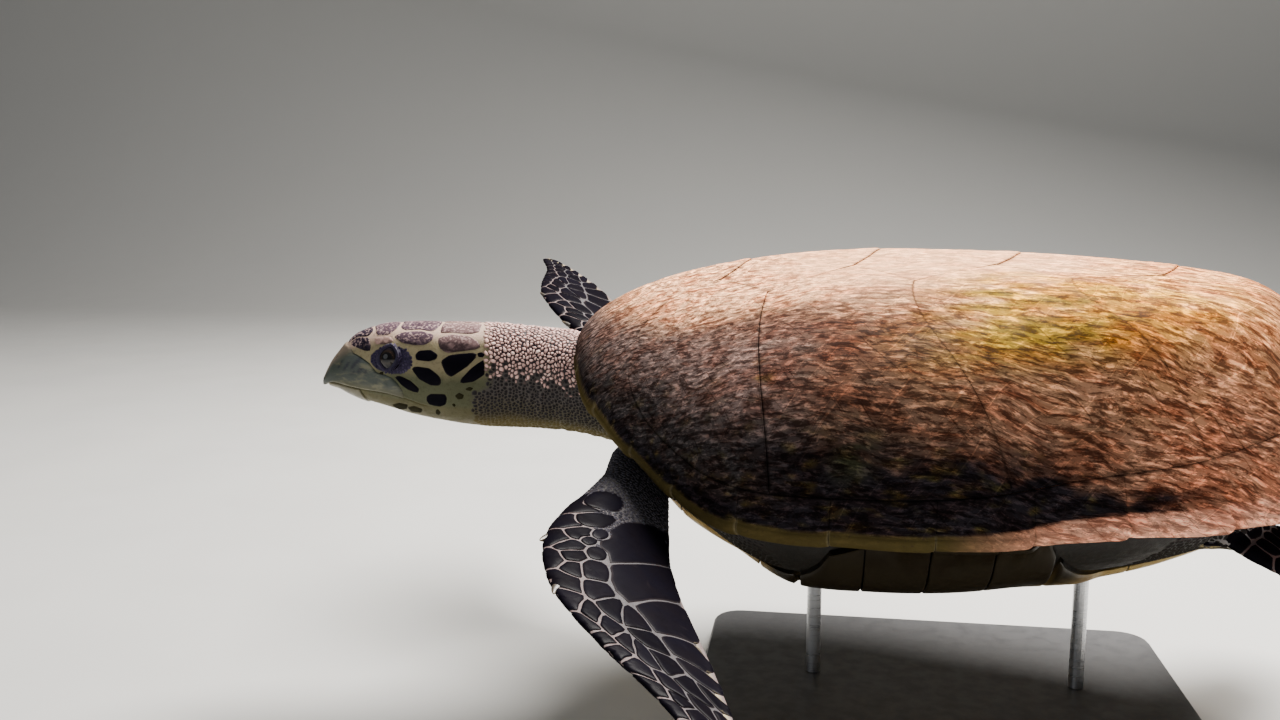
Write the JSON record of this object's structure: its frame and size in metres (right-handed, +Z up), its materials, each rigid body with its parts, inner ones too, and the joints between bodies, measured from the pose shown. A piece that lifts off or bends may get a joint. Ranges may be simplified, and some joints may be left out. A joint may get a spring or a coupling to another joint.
{
  "type": "hawksbill sea turtle",
  "caption": "Life-size hawksbill sea turtle in mid-stroke, with plated shell, scaled skin and hooked beak, held above a plain display base on short rods.",
  "frame": {"origin": "centre of the underside of the stand's base", "axes": "-X towards the beak, +X towards the tail; -Y towards the turtle's left side, whose flipper tip and the right one's make Y the longest side; +Z up, out of the base's top"},
  "size_m": [0.9761, 1.0175, 0.4374],
  "materials": {
    "scute": "worn horn plates, brown and amber streaks with a thin film of algae, satin",
    "marginal": "worn horn plates, nearly black above and olive brown at the lip, satin",
    "plastron": "cream yellow horn plates, satin",
    "skin": "dark blue-grey scales parted by pale cream skin, slightly damp",
    "beak": "greenish cream horn with grey streaks, semi-gloss",
    "eye": "black, wet gloss",
    "claw": "brown horn, semi-gloss",
    "base": "board painted matt charcoal",
    "steel": "brushed round bar"
  },
  "bodies": {
    "root": {"vertebral_1": "scute", "vertebral_2": "scute", "vertebral_3": "scute", "vertebral_4": "scute", "vertebral_5": "scute", "costal_left_1": "scute", "costal_left_2": "scute", "costal_left_3": "scute", "costal_left_4": "scute", "costal_right_1": "scute", "costal_right_2": "scute", "costal_right_3": "scute", "costal_right_4": "scute", "marginals_left": "marginal", "marginals_right": "marginal", "nuchal": "marginal", "plastron": "plastron", "trunk": "skin", "neck": "skin", "head": "skin", "jaw_lower": "skin", "tail": "skin", "flipper_front_left": "skin", "flipper_front_right": "skin", "flipper_rear_left": "skin", "flipper_rear_right": "skin", "beak_upper": "beak", "beak_lower": "beak", "eye_left": "eye", "eye_right": "eye", "claw_front_left_1": "claw", "claw_front_left_2": "claw", "claw_front_right_1": "claw", "claw_front_right_2": "claw", "claw_rear_left_1": "claw", "claw_rear_left_2": "claw", "claw_rear_right_1": "claw", "claw_rear_right_2": "claw", "stand_base": "base", "stand_rod_front": "steel", "stand_rod_rear": "steel"}
  },
  "joints": []
}
